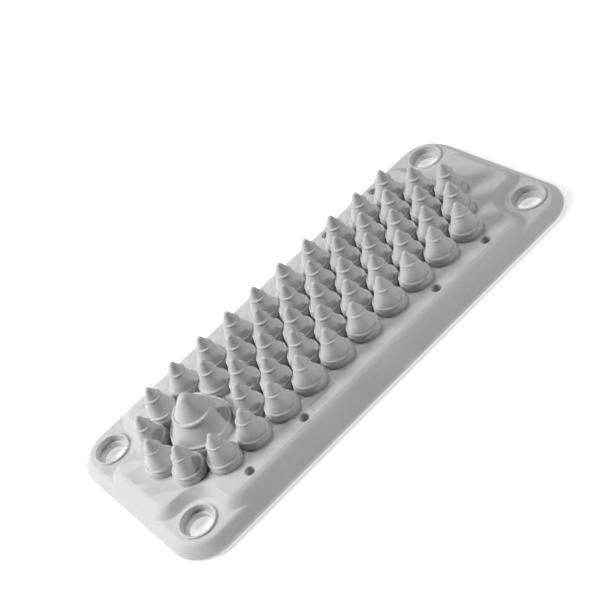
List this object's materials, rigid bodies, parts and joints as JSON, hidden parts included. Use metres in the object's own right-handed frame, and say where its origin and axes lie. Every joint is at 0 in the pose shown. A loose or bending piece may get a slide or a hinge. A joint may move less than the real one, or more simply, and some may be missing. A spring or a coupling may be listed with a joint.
{
  "type": "cable entry plate",
  "caption": "Oblong moulded plate with a field of closed hollow cones for cables, a larger cone, and rimmed screw holes at its corners.",
  "frame": {"origin": "middle of the four screw holes, on the plane of the flat back", "axes": "+X along the plate, away from the large cone; +Y across it; +Z out of the front face, the way the cones point"},
  "size_m": [0.1488, 0.063, 0.0204],
  "materials": {
    "elastomer": "matte light grey moulded elastomer"
  },
  "bodies": {
    "root": {"entry_plate": "elastomer"}
  },
  "joints": []
}
